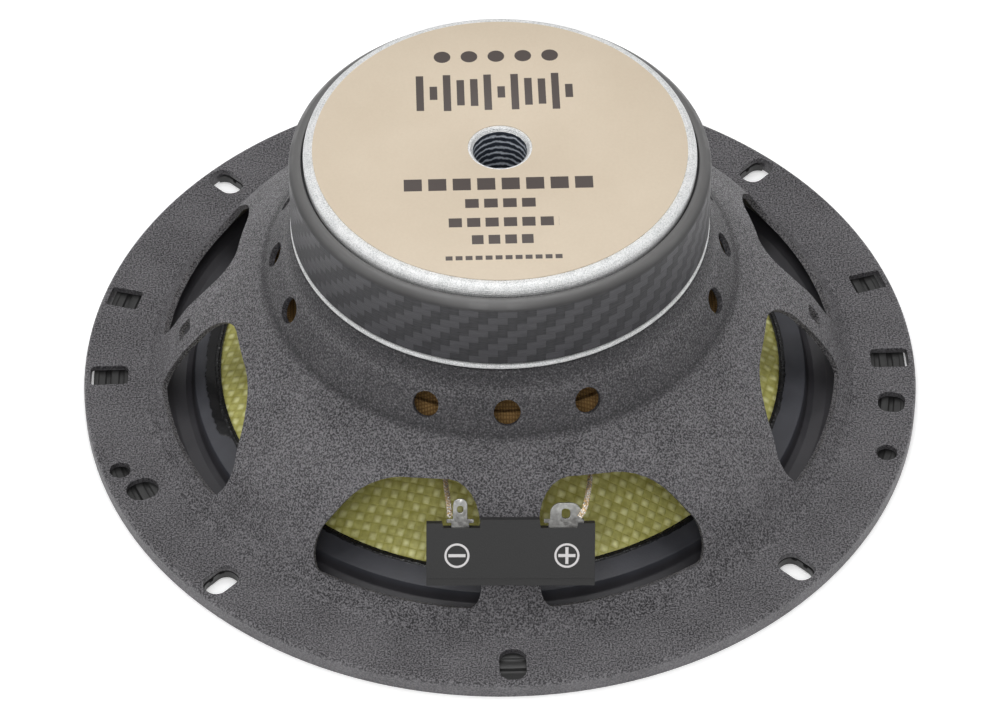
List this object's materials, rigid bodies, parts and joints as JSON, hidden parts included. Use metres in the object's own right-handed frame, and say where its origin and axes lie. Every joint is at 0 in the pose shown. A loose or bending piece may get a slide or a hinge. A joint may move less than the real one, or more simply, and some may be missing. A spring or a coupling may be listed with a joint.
{
  "type": "car mid-woofer loudspeaker",
  "caption": "Round car loudspeaker driver: stamped basket with windows, woven cone in a rubber surround, magnet motor and tab terminals; it turns an audio signal into cone motion.",
  "frame": {"origin": "centre of the circle on which the basket's skirt stands, at the front of the driver", "axes": "+Z along the driver's axis from the front towards the magnet, -Y towards the terminal board, +X towards the positive tab"},
  "size_m": [0.165, 0.165, 0.0635],
  "materials": {
    "basket_coat": "fine-textured black powder coat",
    "black_plastic": "moulded matt black",
    "zinc_plate": "bright zinc plating",
    "ferrite": "ground dark grey ferrite",
    "carbon_sleeve": "shrunk film with a woven carbon look",
    "label_film": "satin beige label",
    "former_film": "amber polyimide film",
    "copper_wire": "enamelled copper wire",
    "glass_fibre": "woven glass fibre with yellow-green resin",
    "dust_cap": "satin black dome",
    "surround_rubber": "smooth grey-black rubber",
    "spider_cloth": "resin-dipped brown cloth",
    "tin_plate": "bright tin plating",
    "tinsel_braid": "braided tinsel wire",
    "cement": "cured black cement",
    "rivet_steel": "plain steel"
  },
  "bodies": {
    "frame": {"basket": "basket_coat", "front_ring": "black_plastic", "top_plate": "zinc_plate", "ferrite_magnet": "ferrite", "back_yoke": "zinc_plate", "magnet_sleeve": "carbon_sleeve", "rear_label": "label_film", "surround": "surround_rubber", "spider": "spider_cloth", "terminal_board": "black_plastic", "negative_tab": "tin_plate", "positive_tab": "tin_plate", "negative_lead": "tinsel_braid", "positive_lead": "tinsel_braid", "plate_rivet_1": "rivet_steel", "plate_rivet_2": "rivet_steel", "plate_rivet_3": "rivet_steel", "plate_rivet_4": "rivet_steel"},
    "moving_cone": {"cone": "glass_fibre", "dust_cap": "dust_cap", "coil_former": "former_film", "coil_winding": "copper_wire", "negative_lead_joint": "cement", "positive_lead_joint": "cement"}
  },
  "joints": [
    {"name": "cone_excursion", "type": "slide", "parent": "frame", "child": "moving_cone", "axis": [0, 0, 1], "range_m": [-0.0035, 0.0035], "stiffness_N_per_m": 2000, "deforming": ["surround", "spider", "negative_lead", "positive_lead"]}
  ]
}
